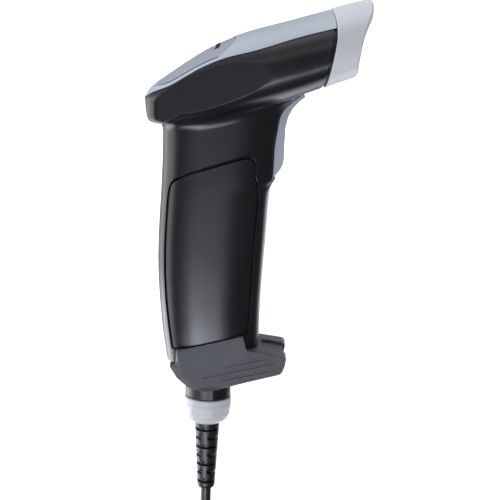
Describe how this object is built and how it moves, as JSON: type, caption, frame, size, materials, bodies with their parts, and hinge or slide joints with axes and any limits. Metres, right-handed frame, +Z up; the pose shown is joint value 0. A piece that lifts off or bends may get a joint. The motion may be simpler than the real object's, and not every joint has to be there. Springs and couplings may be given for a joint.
{
  "type": "handheld barcode scanner",
  "caption": "Pistol-grip handheld laser barcode scanner with a sprung trigger, a hooked foot, a turning cable lock ring and a straight cable stored in a hank.",
  "frame": {"origin": "middle of the grip, where a hand or a holder takes hold of it", "axes": "+X towards the scan window, +Y to the scanner's left, +Z up along the grip"},
  "size_m": [0.0899, 0.0684, 0.405],
  "materials": {
    "shell_black": "fine satin grain",
    "cover_grey": "satin paint",
    "plate_grey": "satin paint",
    "bumper_rubber": "smooth",
    "trigger_grey": "satin",
    "panel_satin": "satin",
    "boot_rubber": "matte",
    "cable_rubber": "satin",
    "ring_grey": "satin",
    "window_red": "clear",
    "indicator_smoke": "clear",
    "gasket_black": "matte",
    "board_green": "solder mask",
    "chip_black": "moulded",
    "steel": "bright",
    "brass": "turned",
    "copper": "wound",
    "mirror": "polished",
    "engine_metal": "cast",
    "natural_plastic": "moulded"
  },
  "bodies": {
    "housing": {"body_shell_left": "shell_black", "body_shell_right": "shell_black", "top_cover": "cover_grey", "top_plate": "plate_grey", "indicator_lens": "indicator_smoke", "nose_bumper": "bumper_rubber", "window_gasket": "gasket_black", "scan_window": "window_red", "side_panel_left": "panel_satin", "side_panel_right": "panel_satin", "foot_boot": "boot_rubber", "neck_sleeve": "cable_rubber", "strain_relief": "cable_rubber", "cable": "cable_rubber", "cable_hank": "cable_rubber", "hank_tie": "cable_rubber", "cable_tail": "cable_rubber", "plug_body": "cable_rubber", "plug_shell": "steel", "plug_tongue": "natural_plastic", "trigger_pin": "steel", "trigger_spring": "steel", "trigger_switch": "chip_black", "main_board": "board_green", "decoder_chip": "chip_black", "memory_chip": "chip_black", "beeper": "chip_black", "indicator_led": "natural_plastic", "flex_ribbon": "copper", "board_screw_rear": "steel", "board_screw_front": "steel", "engine_chassis": "engine_metal", "engine_board": "board_green", "laser_module": "brass", "photodiode": "chip_black", "mirror_pin": "steel", "drive_coil": "copper", "handle_board": "board_green", "cable_jack": "chip_black", "cable_end_plug": "natural_plastic", "wire_harness": "copper", "housing_screw_upper": "steel", "housing_screw_lower": "steel"},
    "trigger": {"trigger": "trigger_grey"},
    "plunger": {"switch_plunger": "natural_plastic"},
    "mirror": {"mirror_hub": "engine_metal", "scan_mirror": "mirror", "mirror_magnet": "steel"},
    "lock_ring": {"lock_ring": "ring_grey"}
  },
  "joints": [
    {"name": "trigger_pull", "type": "hinge", "parent": "housing", "child": "trigger", "pos_m": [0.0305, 0, 0.0616], "axis": [0, 1, 0], "range_deg": [0, 4], "stiffness_Nm_per_rad": 0.4, "springref_deg": -4.58},
    {"name": "plunger_slide", "type": "slide", "parent": "housing", "child": "plunger", "axis": [-1, 0, 0], "range_m": [0, 0.0014]},
    {"name": "mirror_swing", "type": "hinge", "parent": "housing", "child": "mirror", "pos_m": [0.03758, 0, 0.07642], "axis": [-0.2672, 0, 0.9636], "range_deg": [-10, 10], "stiffness_Nm_per_rad": 0.002},
    {"name": "lock_ring_turn", "type": "hinge", "parent": "housing", "child": "lock_ring", "pos_m": [-0.0015, 0, -0.0575], "axis": [0.0262, 0, 0.9997], "range_deg": [0, 45]}
  ],
  "couplings": [
    {"joint": "plunger_slide", "follows": "trigger_pull", "m_per_rad": 0.0196}
  ]
}
